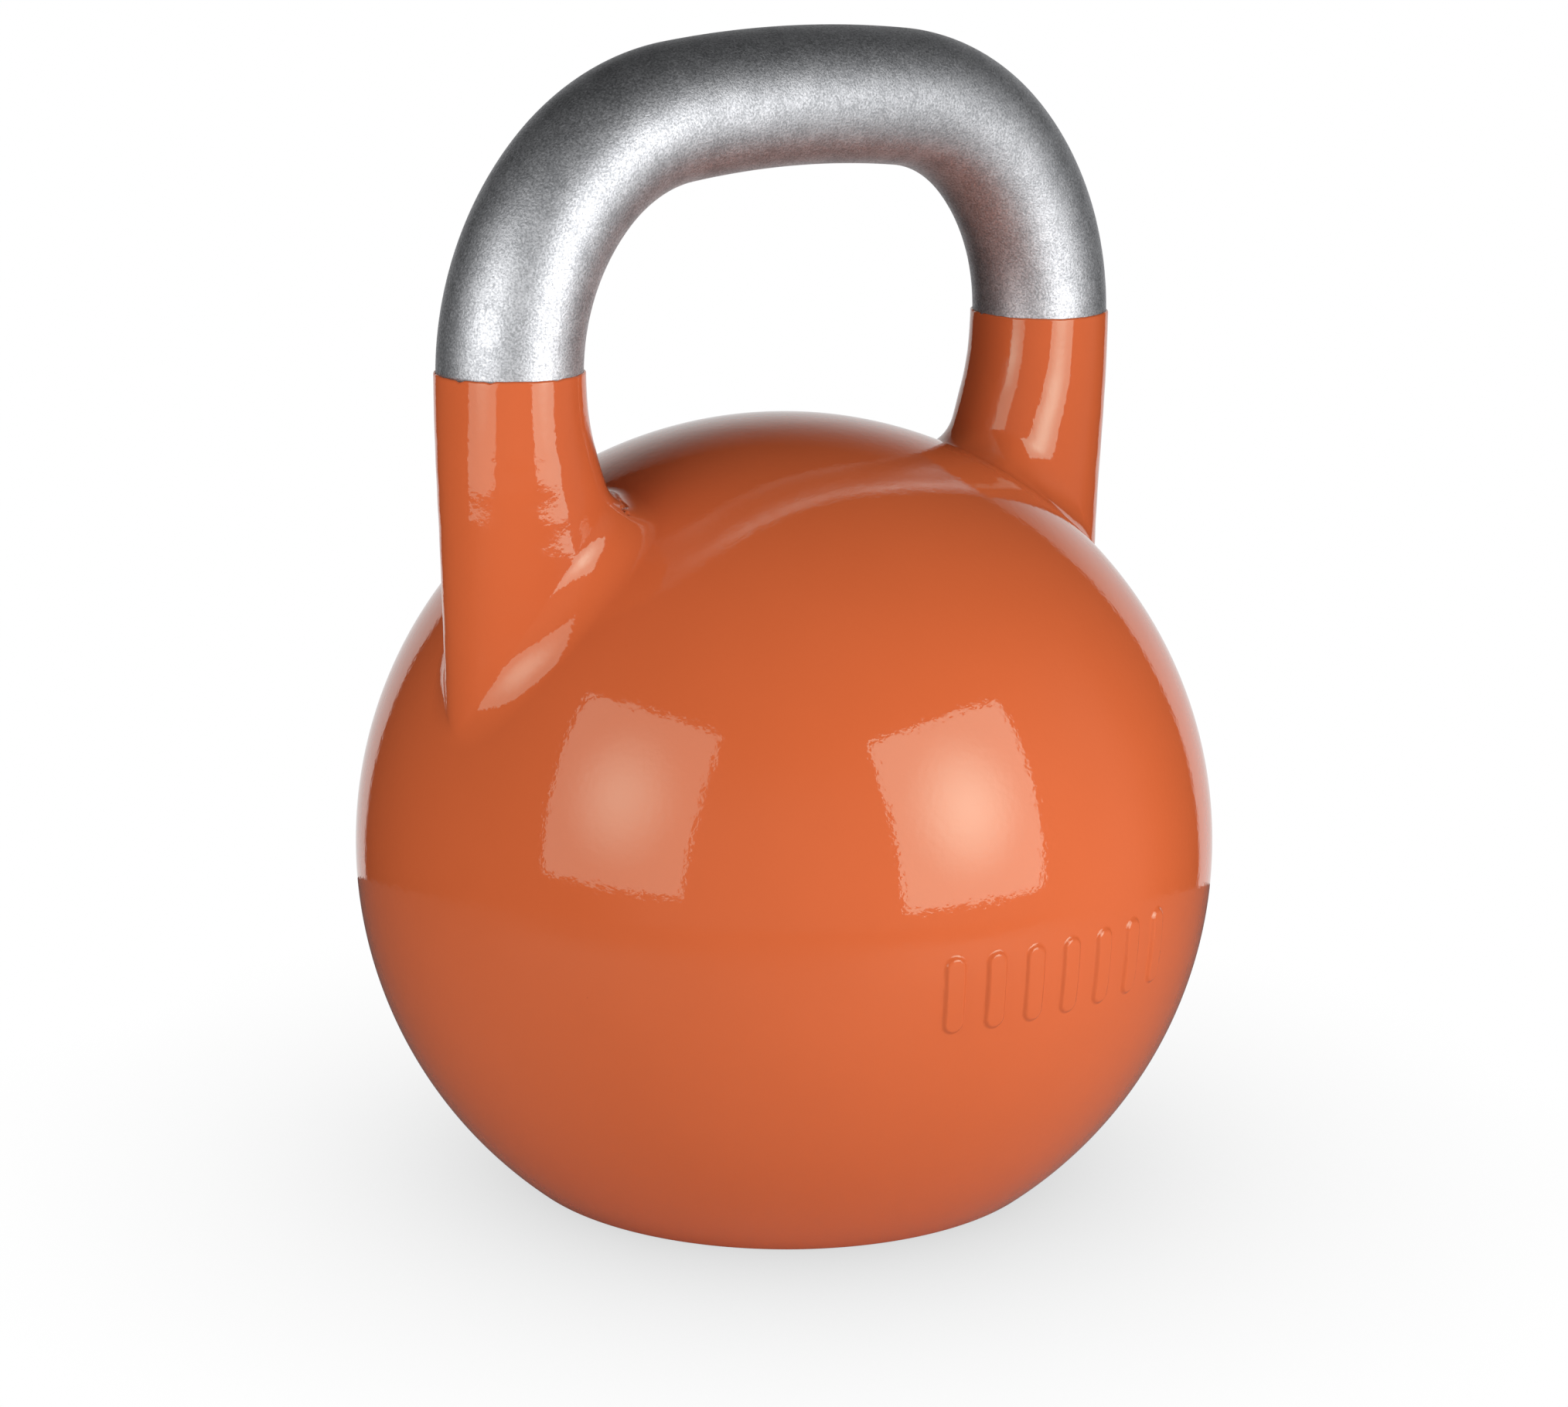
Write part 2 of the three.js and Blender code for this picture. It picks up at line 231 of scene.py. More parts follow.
def settle(p, rounds=6):
    """Moves points onto the surface along its gradient."""
    for _ in range(rounds):
        slope = gradient(p)
        steepness = np.maximum((slope**2).sum(1), 0.2)  # the floor keeps steps short where the field is flat
        move = (surface(p) / steepness)[:, None] * slope
        p = p - np.clip(move, -VOXEL, VOXEL)
    return p


# ---- Mesh helpers ----
def coordinates(mesh):
    flat = np.empty(len(mesh.vertices) * 3)
    mesh.vertices.foreach_get("co", flat)
    return flat.reshape(-1, 3)


def place(mesh, points):
    mesh.vertices.foreach_set("co", points.ravel())
    mesh.update()


def new_object(name, mesh):
    made = bpy.data.objects.new(name, mesh)
    scene.collection.objects.link(made)
    return made


def ring(centre, across, up, radius_x, radius_y=None, count=AROUND):
    """A ring of points about a centre, turning from across towards up."""
    angles = 2 * math.pi * np.arange(count) / count
    radius_y = radius_x if radius_y is None else radius_y
    x = (radius_x * np.cos(angles))[:, None] * np.array(across)
    y = (radius_y * np.sin(angles))[:, None] * np.array(up)
    return np.array(centre) + x + y


def level_ring(radius, z, x=0.0, count=AROUND):
    return ring((x, 0, z), (1, 0, 0), (0, 1, 0), radius, count=count)


def join_rows(bm, row, after):
    for i in range(len(row)):
        j = (i + 1) % len(row)
        bm.faces.new((row[i], row[j], after[j], after[i]))


def add_rings(bm, rings, close_start=False, close_end=False, tag=None):
    """Adds a skin over rings of points, with a fan at either end if asked. Returns the vertex rings."""
    rows = [[bm.verts.new(point) for point in points] for points in rings]
    for row, after in zip(rows, rows[1:]):
        join_rows(bm, row, after)
    for wanted, row, points in ((close_start, rows[0], rings[0]), (close_end, rows[-1], rings[-1])):
        if wanted:
            middle = bm.verts.new(np.mean(points, axis=0))
            for i in range(len(row)):
                bm.faces.new((middle, row[(i + 1) % len(row)], row[i]))
            if tag:
                middle[tag] = 1
    if tag:
        for row in rows:
            for vertex in row:
                vertex[tag] = 1
    return rows


def ring_edges(row):
    pairs = zip(row, row[1:] + row[:1])
    return [edge for a, b in pairs for edge in a.link_edges if edge.other_vert(a) is b]


def arc(centre_r, centre_z, radius, start, end, steps):
    """Profile points on a circle, with angles in degrees from outwards towards up."""
    angles = np.radians(np.linspace(start, end, steps + 1))
    return [(centre_r + radius * math.cos(a), centre_z + radius * math.sin(a)) for a in angles]


def weighted_normals(mesh):
    """Vertex normals weighted by face area, so that flats stay flat beside their small roundings."""
    points = coordinates(mesh)
    mesh.calc_loop_triangles()
    corners = np.empty(len(mesh.loop_triangles) * 3, int)
    mesh.loop_triangles.foreach_get("vertices", corners)
    corners = corners.reshape(-1, 3)
    a, b, c = (points[corners[:, k]] for k in range(3))
    area = np.cross(b - a, c - a)
    normals = np.zeros_like(points)
    for k in range(3):
        np.add.at(normals, corners[:, k], area)
    return normals / np.maximum(np.linalg.norm(normals, axis=1), 1e-20)[:, None]


def shade(mesh, normals=None):
    mesh.shade_smooth()
    chosen = weighted_normals(mesh) if normals is None else normals
    mesh.normals_split_custom_set_from_vertices(chosen.tolist())


def skinned(name, rings, looped=False):
    """A smooth object over rings of points, with a fan at both ends, or looped back to its first ring."""
    bm = bmesh.new()
    rows = add_rings(bm, rings, close_start=not looped, close_end=not looped)
    if looped:
        join_rows(bm, rows[-1], rows[0])
    bmesh.ops.recalc_face_normals(bm, faces=bm.faces)
    mesh = bpy.data.meshes.new(name)
    bm.to_mesh(mesh)
    bm.free()
    shade(mesh)
    return new_object(name, mesh)


# ---- Painted casting: ball, horns, fillets and tally bars in one skin ----
def rough_casting():
    """Ball and horns merged by a voxel remesh, as a start for the exact surface."""
    bm = bmesh.new()
    bmesh.ops.create_icosphere(bm, subdivisions=6, radius=BALL_RADIUS)
    bmesh.ops.translate(bm, verts=bm.verts, vec=BALL_CENTRE)
    for side in (-1, 1):
        sections = []
        for z in np.linspace(BALL_CENTRE[2] + 22 * MM, HORN_TOP, 40):  # from inside the ball
            centre_x, half_x, half_y = horn_section(z)
            sections.append(ring((side * centre_x, 0, z), (1, 0, 0), (0, 1, 0), half_x, half_y, 96))
        add_rings(bm, sections, close_start=True, close_end=True)
    bmesh.ops.recalc_face_normals(bm, faces=bm.faces)
    mesh = bpy.data.meshes.new("casting_start")
    bm.to_mesh(mesh)
    bm.free()
    start = new_object("casting_start", mesh)
    remesh = start.modifiers.new("voxels", "REMESH")
    remesh.mode = "VOXEL"
    remesh.voxel_size = VOXEL
    merged = bpy.data.meshes.new_from_object(start.evaluated_get(bpy.context.evaluated_depsgraph_get()))
    bpy.data.objects.remove(start)
    return merged


def refine(mesh, wanted, cuts):
    """Subdivides the faces whose middle satisfies a test."""
    bm = bmesh.new()
    bm.from_mesh(mesh)
    middles = np.array([face.calc_center_median() for face in bm.faces])
    chosen = wanted(middles)
    edges = {edge for face, use in zip(bm.faces, chosen) if use for edge in face.edges}
    bmesh.ops.subdivide_edges(bm, edges=list(edges), cuts=cuts, use_grid_fill=True)
    bm.to_mesh(mesh)
    bm.free()
    place(mesh, settle(coordinates(mesh), rounds=4))


def on_tally(p):
    half_width = TALLY_COUNT * TALLY_PITCH / 2
    half_height = TALLY_HEIGHT / 2 + 3 * MM
    below = BALL_CENTRE[2] - TALLY_DROP - p[:, 2]
    return (p[:, 1] < 0) & (np.abs(p[:, 0]) < half_width) & (np.abs(below) < half_height)


def at_roots(p):
    ball, horn, _, _ = ball_and_horn(p)
    return (p[:, 2] > BALL_CENTRE[2]) & (np.abs(ball) < FILLET_RADIUS) & (np.abs(horn) < FILLET_RADIUS)


def cut_level(bm, z, keep_above):
    """Cuts at a height and clears one side. Returns the edges of the cut."""
    made = bmesh.ops.bisect_plane(
        bm, geom=bm.verts[:] + bm.edges[:] + bm.faces[:], plane_co=(0, 0, z), plane_no=(0, 0, 1),
        clear_inner=keep_above, clear_outer=not keep_above,
    )
    return [item for item in made["geom_cut"] if isinstance(item, bmesh.types.BMEdge)]


def base_rings():
    """The lowest part of the shell, its recess and plug seat, and the hollow inside, as turned rings."""
    rim_r = math.sqrt((BALL_RADIUS - BASE_EDGE) ** 2 - (BALL_CENTRE[2] - BASE_EDGE) ** 2)
    rim_angle = -math.degrees(math.atan2(BALL_CENTRE[2] - BASE_EDGE, rim_r))
    cut_angle = -math.degrees(math.asin((BALL_CENTRE[2] - LOW_CUT + VOXEL) / BALL_RADIUS))
    seat = FLANGE_RADIUS + CLEARANCE
    hole = PLUG_RADIUS + CLEARANCE
    inner = BALL_RADIUS - BALL_WALL
    inner_angle = -math.degrees(math.asin((BALL_CENTRE[2] - BASE_THICKNESS) / inner))
    profile = [
        *arc(0, BALL_CENTRE[2], BALL_RADIUS, cut_angle, rim_angle, 9),
        *arc(rim_r, BASE_EDGE, BASE_EDGE, rim_angle, -90, 6)[1:],
        (RECESS_RADIUS + 6 * SMALL_EDGE, 0),
        *arc(RECESS_RADIUS + SMALL_EDGE, SMALL_EDGE, SMALL_EDGE, -90, -180, 4),
        *arc(RECESS_RADIUS - SMALL_EDGE, RECESS_DEPTH - SMALL_EDGE, SMALL_EDGE, 0, 90, 4),
        (seat + 6 * SMALL_EDGE, RECESS_DEPTH),
        *arc(seat + SMALL_EDGE, RECESS_DEPTH + SMALL_EDGE, SMALL_EDGE, -90, -180, 4),
        (seat, SEAT_TOP),
        (hole, SEAT_TOP),
        (hole, BASE_THICKNESS),
        *arc(0, BALL_CENTRE[2], inner, inner_angle, 89, 40),
    ]
    return [level_ring(radius, z) for radius, z in profile]


def paint_edge(angle, seed):
    """Height of the paint's top edge round a horn: slightly wavy, with a few small chips."""
    rng = np.random.default_rng(seed)
    height = np.full_like(angle, PAINT_LINE)
    for cycles in (1, 2, 3, 5, 9, 17, 31):
        height += PAINT_WAVE / math.sqrt(cycles) * np.sin(cycles * angle + rng.uniform(0, 2 * math.pi))
    for _ in range(PAINT_CHIPS):
        away = np.angle(np.exp(1j * (angle - rng.uniform(0, 2 * math.pi))))
        height -= rng.uniform(0.1, 0.4) * MM * np.exp(-((away / rng.uniform(0.02, 0.06)) ** 2))
    return height


def horn_rings(side):
    """The top of a horn: its wall, the rounded edge of the paint, and the socket for the bar."""
    angle = 2 * math.pi * np.arange(AROUND) / AROUND
    edge = paint_edge(angle, seed=20 + side)
    rings = []
    for z in np.linspace(HIGH_CUT + VOXEL, HORN_TOP, 4):
        centre_x, half_x, half_y = horn_section(z)
        rings.append(ring((side * centre_x, 0, z), (1, 0, 0), (0, 1, 0), half_x, half_y))
    lip = HORN_RADIUS - GRIP_END_RADIUS
    for turn in np.radians(np.linspace(0, 90, 6)):
        level = level_ring(GRIP_END_RADIUS + lip * math.cos(turn), 0, side * LEG_X)
        level[:, 2] = edge - lip * (1 - math.sin(turn))
        rings.append(level)
    socket = SPIGOT_RADIUS + CLEARANCE
    bar = GRIP_END_RADIUS + 0.01 * MM  # just off the bar's surface
    for radius, z in ((bar, HORN_TOP), (socket, HORN_TOP), (socket, SPIGOT_BOTTOM - CLEARANCE)):
        rings.append(level_ring(radius, z, side * LEG_X))
    return rings


def painted_casting():
    mesh = rough_casting()
    place(mesh, settle(coordinates(mesh)))
    refine(mesh, at_roots, cuts=2)
    refine(mesh, on_tally, cuts=3)
    bm = bmesh.new()
    bm.from_mesh(mesh)
    tag = bm.verts.layers.int.new("turned")
    low_edges = cut_level(bm, LOW_CUT, keep_above=True)
    high_edges = cut_level(bm, HIGH_CUT, keep_above=False)
    base = add_rings(bm, base_rings(), close_end=True, tag=tag)
    bmesh.ops.bridge_loops(bm, edges=low_edges + ring_edges(base[0]))
    for side in (-1, 1):
        top = add_rings(bm, horn_rings(side), close_end=True, tag=tag)
        here = [edge for edge in high_edges if edge.verts[0].co.x * side > 0]
        bmesh.ops.bridge_loops(bm, edges=here + ring_edges(top[0]))
    bmesh.ops.recalc_face_normals(bm, faces=bm.faces)
    bm.to_mesh(mesh)
    turned = np.array([vertex[tag] for vertex in bm.verts], bool)
    bm.free()
    normals = weighted_normals(mesh)
    field = gradient(coordinates(mesh)[~turned])
    normals[~turned] = field / np.linalg.norm(field, axis=1)[:, None]
    shade(mesh, normals)
    mesh.name = "painted_casting"
    return new_object("painted_casting", mesh)


# ---- Grip bar ----
def handle_arcs():
    """The bar's centre line as (centre x, centre z, radius, start, end), with angles from upright."""
    mid = math.pi / 4
    shoulder_x = LEG_X - SHOULDER_RADIUS
    corner_x = shoulder_x + (SHOULDER_RADIUS - CORNER_RADIUS) * math.sin(mid)
    crown = math.asin(corner_x / (CROWN_RADIUS - CORNER_RADIUS))
    crown_z = GRIP_TOP - GRIP_RADIUS - CROWN_RADIUS
    corner_z = crown_z + (CROWN_RADIUS - CORNER_RADIUS) * math.cos(crown)
    shoulder_z = corner_z + (CORNER_RADIUS - SHOULDER_RADIUS) * math.cos(mid)
    return [
        (-shoulder_x, shoulder_z, SHOULDER_RADIUS, -math.pi / 2, -mid),
        (-corner_x, corner_z, CORNER_RADIUS, -mid, -crown),
        (0, crown_z, CROWN_RADIUS, -crown, crown),
        (corner_x, corner_z, CORNER_RADIUS, crown, mid),
        (shoulder_x, shoulder_z, SHOULDER_RADIUS, mid, math.pi / 2),
    ]


def handle_line(step):
    """The bar's centre line: its points, the way out of the bend at each, and its share of the length."""
    centres, normals, lengths = [], [], []
    travelled = 0
    for centre_x, centre_z, radius, start, end in handle_arcs():
        count = math.ceil(radius * (end - start) / step)
        for angle in np.linspace(start, end, count + 1)[1 if centres else 0:]:
            normal = np.array([math.sin(angle), 0, math.cos(angle)])
            centres.append(np.array([centre_x, 0, centre_z]) + radius * normal)
            normals.append(normal)
            lengths.append(travelled + radius * (angle - start))
        travelled += radius * (end - start)
    return centres, normals, [length / travelled for length in lengths]


def grip_bar(around=128, step=1.2 * MM):
    """The bent bar, a little thicker towards its ends, with a spigot down into each horn."""
    centres, normals, shares = handle_line(step)
    rings = []
    for centre, normal, share in zip(centres, normals, shares):
        radius = GRIP_RADIUS + GRIP_TAPER * (2 * share - 1) ** 2
        rings.append(ring(centre, normal, (0, 1, 0), radius, count=around))
    for end in (0, -1):
        spigot = []
        for z in (centres[end][2], SPIGOT_BOTTOM):
            foot = (centres[end][0], 0, z)
            spigot.append(ring(foot, normals[end], (0, 1, 0), SPIGOT_RADIUS, count=around))
        rings = spigot[::-1] + rings if end == 0 else rings + spigot
    return skinned("bare_grip", rings)


# ---- Plug and seal in the base ----
def plug(count=96):
    """A round plug with a flange below it and a hexagon socket for a key."""
    edge, face = PLUG_EDGE, RECESS_DEPTH
    flange_top = face + FLANGE_THICKNESS
    profile = [
        (PLUG_RADIUS - 2 * edge, PLUG_TOP),
        (PLUG_RADIUS, PLUG_TOP - 2 * edge),
        (PLUG_RADIUS, flange_top),
        (FLANGE_RADIUS - edge, flange_top),
        (FLANGE_RADIUS, flange_top - edge),
        *arc(FLANGE_RADIUS - edge, face + edge, edge, 0, -90, 4),
        (SOCKET_APOTHEM * 1.5, face),
    ]
    rings = [level_ring(radius, z, count=count) for radius, z in profile]
    angle = 2 * math.pi * np.arange(count) / count
    sector = math.pi / 3
    across = SOCKET_APOTHEM / np.cos((angle + sector / 2) % sector - sector / 2)
    socket = [(1.06, face), (1, face + edge), (1, face + SOCKET_DEPTH - edge), (0.9, face + SOCKET_DEPTH)]
    for grow, z in socket:
        wall = grow * across
        rings.append(np.stack([wall * np.cos(angle), wall * np.sin(angle), np.full(count, z)], 1))
    return skinned("base_plug", rings)


def seal():
    """A flat gasket with rounded inner and outer edges."""
    half = (SEAL_HIGH - SEAL_LOW) / 2
    middle = (SEAL_HIGH + SEAL_LOW) / 2
    outer = FLANGE_RADIUS - CLEARANCE - half
    inner = PLUG_RADIUS + CLEARANCE + half
    profile = [*arc(outer, middle, half, -90, 90, 6), *arc(inner, middle, half, 90, 270, 6)]
    rings = [level_ring(radius, z, count=96) for radius, z in profile]
    return skinned("plug_gasket", rings, looped=True)


# ---- Materials ----
class Nodes:
    """A short way to write a node tree."""

    def __init__(self, name):
        self.material = bpy.data.materials.new(name)
        self.material.use_nodes = True
        self.tree = self.material.node_tree
        self.shader = self.tree.nodes["Principled BSDF"]
        self.position = self.add("ShaderNodeTexCoord").outputs["Object"]

    def add(self, kind, inputs=None, **settings):
        node = self.tree.nodes.new(kind)
        for key, value in settings.items():
            setattr(node, key, value)
        for key, value in (inputs or {}).items():
            self.feed(node.inputs[key], value)
        return node

    def feed(self, socket, value):
        if isinstance(value, bpy.types.NodeSocket):
            self.tree.links.new(value, socket)
        else:
            socket.default_value = value

    def noise(self, size, detail=2.0, roughness=0.5):
        inputs = {"Vector": self.position, "Scale": 1 / size, "Detail": detail, "Roughness": roughness}
        return self.add("ShaderNodeTexNoise", inputs).outputs["Fac"]

    def spread(self, value, low, high, to_low=0.0, to_high=1.0, smooth=False):
        settings = {"interpolation_type": "SMOOTHSTEP"} if smooth else {}
        inputs = {"Value": value, "From Min": low, "From Max": high, "To Min": to_low, "To Max": to_high}
        return self.add("ShaderNodeMapRange", inputs, **settings).outputs["Result"]

    def mix(self, factor, first, second):
        """Between two colours."""
        node = self.add("ShaderNodeMix", data_type="RGBA")
        self.feed(node.inputs[0], factor)
        self.feed(node.inputs[6], first)
        self.feed(node.inputs[7], second)
        return node.outputs[2]

    def math(self, operation, first, second=0.0):
        return self.add("ShaderNodeMath", {0: first, 1: second}, operation=operation).outputs[0]

    def bump(self, height, distance, normal=None):
        inputs = {"Height": height, "Distance": distance, "Strength": 1.0}
        if normal:
            inputs["Normal"] = normal
        return self.add("ShaderNodeBump", inputs).outputs["Normal"]

    def finish(self, **sockets):
        for name, value in sockets.items():
            self.feed(self.shader.inputs[name.replace("_", " ")], value)
        return self.material


def enamel():
    """Gloss orange with a fine ripple and a few dark specks of dust."""
    n = Nodes("enamel")
    cloud = n.spread(n.noise(60 * MM, 3), 0.3, 0.7)
    colour = n.mix(cloud, (0.59, 0.117, 0.036, 1), (0.62, 0.125, 0.04, 1))
    cells = n.add("ShaderNodeTexVoronoi", {"Vector": n.position, "Scale": 1 / (13 * MM)}).outputs
    draw = n.add("ShaderNodeSeparateColor", {"Color": cells["Color"]}).outputs[0]
    rare = n.math("GREATER_THAN", draw, 0.72)
    dot = n.math("MULTIPLY", n.spread(cells["Distance"], 0.011, 0.022, 1, 0, smooth=True), rare)
    colour = n.mix(n.math("MULTIPLY", dot, 0.45), colour, (0.32, 0.05, 0.02, 1))
    peel = n.bump(n.noise(1.5 * MM, 2, 0.5), 0.03 * MM)
    sag = n.bump(n.noise(9 * MM, 1), 0.035 * MM, peel)
    nib = n.bump(dot, 0.03 * MM, sag)
    gloss = n.spread(n.noise(25 * MM, 4), 0.3, 0.7, 0.035, 0.06)
    return n.finish(
        Base_Color=colour, Roughness=gloss, Normal=nib, IOR=1.52, Specular_Tint=(0.68, 1.0, 0.84, 1),
    )


def bare_steel():
    """Blasted steel: a fine bright and dark grain, in softly darker and lighter patches."""
    n = Nodes("bare_steel")
    grain = n.noise(0.5 * MM, 2, 0.6)
    patch = n.noise(7 * MM, 4, 0.6)
    shade_of = n.math("ADD", n.math("MULTIPLY", grain, 0.7), n.math("MULTIPLY", patch, 0.3))
    colour = n.mix(n.spread(shade_of, 0.38, 0.62), (0.45, 0.46, 0.48, 1), (0.83, 0.84, 0.865, 1))
    rough = n.spread(n.noise(0.6 * MM, 2), 0.3, 0.7, 0.48, 0.6)
    pits = n.bump(grain, 0.07 * MM)
    swell = n.bump(n.noise(5 * MM, 2), 0.02 * MM, pits)
    return n.finish(Base_Color=colour, Metallic=1.0, Roughness=rough, Normal=swell)


def zinc_steel():
    """Zinc-plated steel with turning marks round the middle."""
    n = Nodes("zinc_steel")
    x, y, _ = n.add("ShaderNodeSeparateXYZ", {"Vector": n.position}).outputs
    radius = n.math("SQRT", n.math("ADD", n.math("MULTIPLY", x, x), n.math("MULTIPLY", y, y)))
    groove = n.math("SINE", n.math("MULTIPLY", radius, 2 * math.pi / (0.35 * MM)))
    bloom = n.noise(6 * MM, 4, 0.6)
    colour = n.mix(n.spread(bloom, 0.3, 0.7), (0.46, 0.47, 0.48, 1), (0.62, 0.62, 0.58, 1))
    rough = n.spread(n.noise(2 * MM, 3), 0.3, 0.7, 0.28, 0.42)
    return n.finish(Base_Color=colour, Metallic=1.0, Roughness=rough, Normal=n.bump(groove, 0.004 * MM))


def black_rubber():
    """Matt rubber with a pale bloom and small pits."""
    n = Nodes("black_rubber")
    bloom = n.noise(2.5 * MM, 4, 0.6)
    colour = n.mix(n.spread(bloom, 0.3, 0.7), (0.014, 0.014, 0.015, 1), (0.03, 0.03, 0.031, 1))
    pits = n.bump(n.noise(0.35 * MM, 2), 0.03 * MM)
    return n.finish(Base_Color=colour, Roughness=n.spread(bloom, 0.3, 0.7, 0.62, 0.78), Normal=pits)


def shot_resin():
    """Round grains of iron in a dark resin."""
    n = Nodes("shot_resin")
    cells = n.add("ShaderNodeTexVoronoi", {"Vector": n.position, "Scale": 1 / (1.8 * MM)}).outputs
    shot = n.spread(cells["Distance"], 0.35, 0.55, 1, 0, smooth=True)
    colour = n.mix(shot, (0.035, 0.03, 0.026, 1), (0.15, 0.15, 0.16, 1))
    return n.finish(
        Base_Color=colour, Metallic=n.math("MULTIPLY", shot, 0.8),
        Roughness=n.spread(shot, 0, 1, 0.35, 0.5), Normal=n.bump(shot, 0.5 * MM),
    )


# ---- Pieces on the frame ----
def finish_piece(piece, material, nodes):
    piece.data.materials.clear()
    piece.data.materials.append(material)
    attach(piece, "root")
    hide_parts(*nodes)


castings = ["ball_shell", "left_horn", "right_horn", "left_horn_weld", "right_horn_weld"]
finish_piece(painted_casting(), enamel(), castings)
finish_piece(grip_bar(), bare_steel(), ["grip_bar"])
finish_piece(plug(), zinc_steel(), ["core_plug"])
finish_piece(seal(), black_rubber(), ["plug_seal"])
# The ballast keeps its CAD shape, because the shell hides it, and only gets its material.
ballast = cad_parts["ballast_core"]
ballast.data.materials.clear()
ballast.data.materials.append(shot_resin())


# ---- Stage: floor, world, softboxes and camera ----
def direction(azimuth, elevation):
    """A unit vector, with azimuth in degrees from -Y towards +X."""
    a, e = math.radians(azimuth), math.radians(elevation)
    return Vector((math.sin(a) * math.cos(e), -math.cos(a) * math.cos(e), math.sin(e)))


CAMERA_AZIMUTH = -38.5
CAMERA_ELEVATION = 14.3
CAMERA_DISTANCE = 0.9616
CAMERA_TARGET = Vector((0, 0, 0.11617))
CAMERA_SIDE_STEP = -0.28 * MM
CAMERA_ROLL = 0.46
CAMERA_LENS = 90.32  # millimetres, on a sensor 36 wide

FLOOR_RADIUS = 6.0
TABLE_RADIUS = 0.5  # beyond it the floor shows only to the camera
FLOOR_SHADOW = 0.35  # how much darker than white the floor is where no sky is open
SHADOW_REACH = 0.145
SHADOW_SAMPLES = 16
SHADOW_END = 0.93  # share of open sky at which the floor is fully white
TABLE_GREY = 0.8
TABLE_GREY_MIRRORED = 0.36
TABLE_GLOW = 0.15  # light from the table, but not in reflections
TABLE_SHIFT = 0.25  # how far the table is set towards the camera

ROOM_FILL_LOW = 0.24  # light on the surfaces from the horizon
ROOM_FILL_HIGH = 0.16  # and from overhead
ROOM_GLOSS = 0.02  # the dim room in reflections
FRONT_LIGHT = 0.23  # a pale wall behind the camera
FRONT_AZIMUTH = -5
FRONT_HALF_WIDTH = 75
BACKDROP_LIGHT = 1.0
BACKDROP_AZIMUTH = 139.5
BACKDROP_HALF_WIDTH = 36
SOFTBOX_MIDDLE = 1.8  # brightness in its middle and at its rim, as shares of its radiance
SOFTBOX_RIM = 0.8


class Tree:
    """A short way to write a node tree that isn't a material's."""

    def __init__(self, owner):
        owner.use_nodes = True
        self.tree = owner.node_tree
        self.tree.nodes.clear()

    add = Nodes.add
    feed = Nodes.feed
    spread = Nodes.spread
    math = Nodes.math

    def blend(self, factor, first, second):
        """Between two numbers."""
        return self.add("ShaderNodeMix", {0: factor, 2: first, 3: second}).outputs[0]


def pale_floor():
    """White with a soft contact shadow for the camera, and a small pale table for everything else."""
    bm = bmesh.new()
    bmesh.ops.create_circle(bm, cap_ends=True, segments=96, radius=FLOOR_RADIUS)
    mesh = bpy.data.meshes.new("floor")
    bm.to_mesh(mesh)
    bm.free()
    material = bpy.data.materials.new("floor")
    t = Tree(material)
    ray = t.add("ShaderNodeLightPath").outputs
    occlusion = t.add("ShaderNodeAmbientOcclusion", {"Distance": SHADOW_REACH}, samples=SHADOW_SAMPLES)
    shade_of = t.spread(occlusion.outputs["AO"], 0, SHADOW_END, 1 - FLOOR_SHADOW, 1)
    seen = t.add("ShaderNodeEmission", {"Strength": shade_of}).outputs[0]
    grey = t.blend(ray["Is Glossy Ray"], TABLE_GREY, TABLE_GREY_MIRRORED)
    colour = t.add("ShaderNodeCombineColor", {0: grey, 1: grey, 2: grey}).outputs[0]
    matt = t.add("ShaderNodeBsdfDiffuse", {"Color": colour}).outputs[0]
    strength = t.blend(ray["Is Glossy Ray"], TABLE_GLOW, 0.0)
    glow = t.add("ShaderNodeEmission", {"Strength": strength}).outputs[0]
    table = t.add("ShaderNodeAddShader", {0: matt, 1: glow}).outputs[0]
    position = t.add("ShaderNodeTexCoord").outputs["Object"]
    middle = TABLE_SHIFT * direction(CAMERA_AZIMUTH, 0)
    away = t.add("ShaderNodeVectorMath", {0: position, 1: middle}, operation="DISTANCE").outputs["Value"]
    beyond = t.math("GREATER_THAN", away, TABLE_RADIUS)
    clear = t.add("ShaderNodeBsdfTransparent").outputs[0]
    hidden = t.add("ShaderNodeMixShader", {0: beyond, 1: table, 2: clear}).outputs[0]
    result = t.add("ShaderNodeMixShader", {0: ray["Is Camera Ray"], 1: hidden, 2: seen}).outputs[0]
    t.add("ShaderNodeOutputMaterial", {"Surface": result})
    mesh.materials.append(material)
    new_object("floor", mesh)


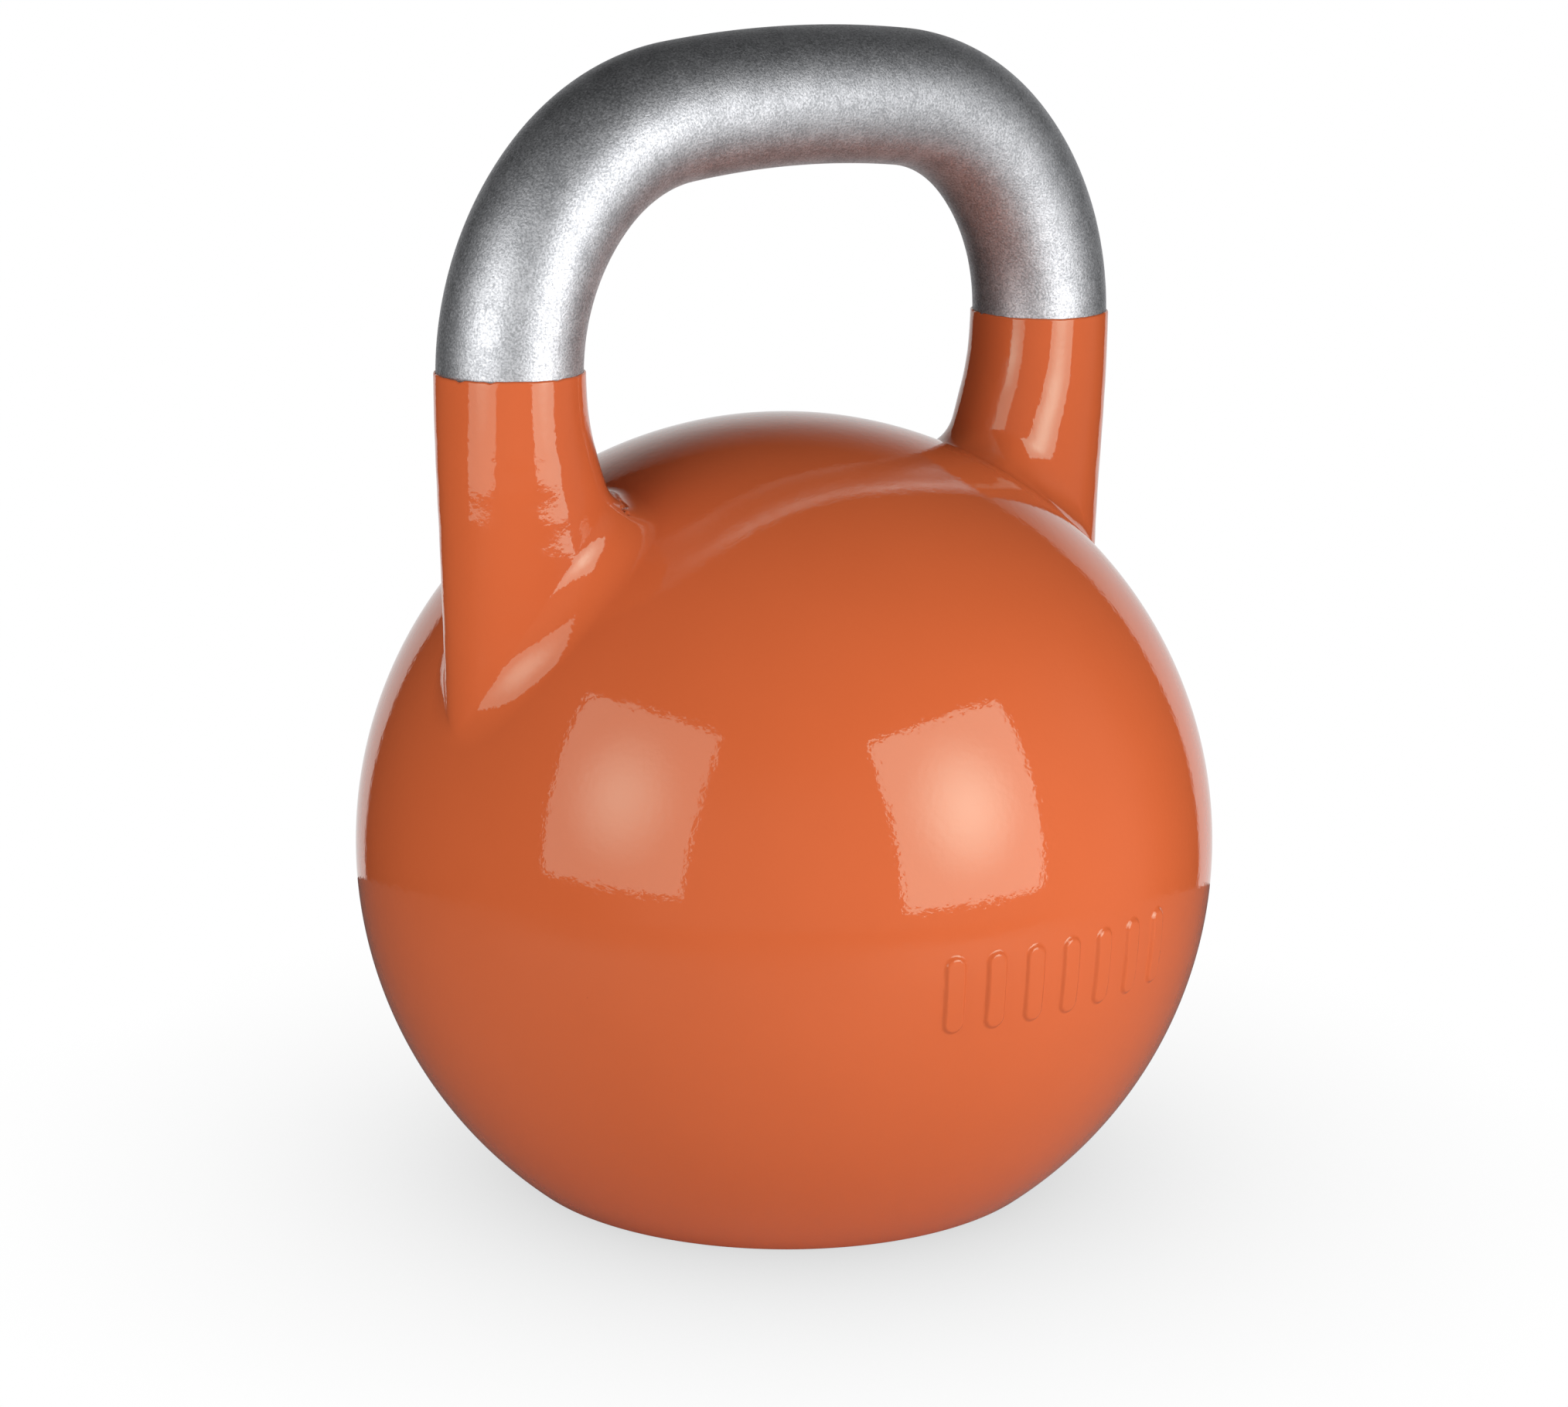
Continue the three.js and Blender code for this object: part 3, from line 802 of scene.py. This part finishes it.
def studio_world():
    """White for the camera, soft fill on the surfaces, and a dim room with a backdrop in reflections."""
    world = bpy.data.worlds.new("studio")
    scene.world = world
    t = Tree(world)
    ray = t.add("ShaderNodeTexCoord").outputs["Generated"]
    height = t.add("ShaderNodeSeparateXYZ", {"Vector": ray}).outputs["Z"]

    def wall(azimuth, half_width, light, softness, low, high):
        """Light from a band of directions, fading out upwards between two heights."""
        middle = direction(azimuth, 0)
        ahead = t.add("ShaderNodeVectorMath", {0: ray, 1: middle}, operation="DOT_PRODUCT").outputs["Value"]
        edge = math.cos(math.radians(half_width))
        across = t.spread(ahead, edge - softness, edge + softness, 0, 1, smooth=True)
        return t.math("MULTIPLY", across, t.spread(height, low, high, light, 0, smooth=True))

    backdrop = wall(BACKDROP_AZIMUTH, BACKDROP_HALF_WIDTH, BACKDROP_LIGHT, softness=0.01, low=0.1, high=0.62)
    front = wall(FRONT_AZIMUTH, FRONT_HALF_WIDTH, FRONT_LIGHT, softness=0.2, low=0.3, high=0.7)
    walls = t.math("ADD", backdrop, front)
    fill = t.math("ADD", t.spread(height, 0.1, 0.8, ROOM_FILL_LOW, ROOM_FILL_HIGH, smooth=True), walls)
    mirrored = t.math("ADD", walls, ROOM_GLOSS)
    path = t.add("ShaderNodeLightPath").outputs
    light = t.blend(path["Is Glossy Ray"], fill, mirrored)
    strength = t.blend(path["Is Camera Ray"], light, 1.0)
    background = t.add("ShaderNodeBackground", {"Strength": strength}).outputs[0]
    t.add("ShaderNodeOutputWorld", {"Surface": background})


def softbox(name, azimuth, elevation, distance, width, height, radiance):
    """A rectangular light with a bright middle, aimed at the ball."""
    light = bpy.data.lights.new(name, "AREA")
    light.shape = "RECTANGLE"
    light.size = width
    light.size_y = height
    light.energy = radiance * math.pi * width * height
    t = Tree(light)
    where = t.add("ShaderNodeNewGeometry").outputs["Parametric"]
    middle = (0.5, 0.5, 0)
    away = t.add("ShaderNodeVectorMath", {0: where, 1: middle}, operation="DISTANCE").outputs["Value"]
    brightness = t.spread(away, 0, 0.45, SOFTBOX_MIDDLE, SOFTBOX_RIM, smooth=True)
    emission = t.add("ShaderNodeEmission", {"Strength": brightness}).outputs[0]
    t.add("ShaderNodeOutputLight", {"Surface": emission})
    lamp = new_object(name, light)
    aim = Vector(BALL_CENTRE)
    out = direction(azimuth, elevation)
    lamp.location = aim + distance * out
    lamp.rotation_euler = out.to_track_quat("Z", "Y").to_euler()
    lamp.visible_camera = False


def studio_camera():
    data = bpy.data.cameras.new("camera")
    data.sensor_fit = "HORIZONTAL"
    data.sensor_width = 36
    data.lens = CAMERA_LENS
    data.clip_start = 0.01
    camera = new_object("camera", data)
    back = direction(CAMERA_AZIMUTH, CAMERA_ELEVATION)
    right = Vector((0, 0, 1)).cross(back).normalized()
    up = back.cross(right)
    turn = Matrix((right, up, back)).transposed() @ Matrix.Rotation(math.radians(CAMERA_ROLL), 3, "Z")
    camera.matrix_world = Matrix.LocRotScale(
        CAMERA_TARGET + CAMERA_SIDE_STEP * right + CAMERA_DISTANCE * back, turn, None
    )
    scene.camera = camera


pale_floor()
studio_world()
softbox("left_softbox", azimuth=-78.5, elevation=21, distance=0.4, width=0.262, height=0.284, radiance=2.6)
softbox("right_softbox", azimuth=7, elevation=18.2, distance=0.45, width=0.306, height=0.334, radiance=4.3)
studio_camera()
scene.view_settings.view_transform = "Standard"
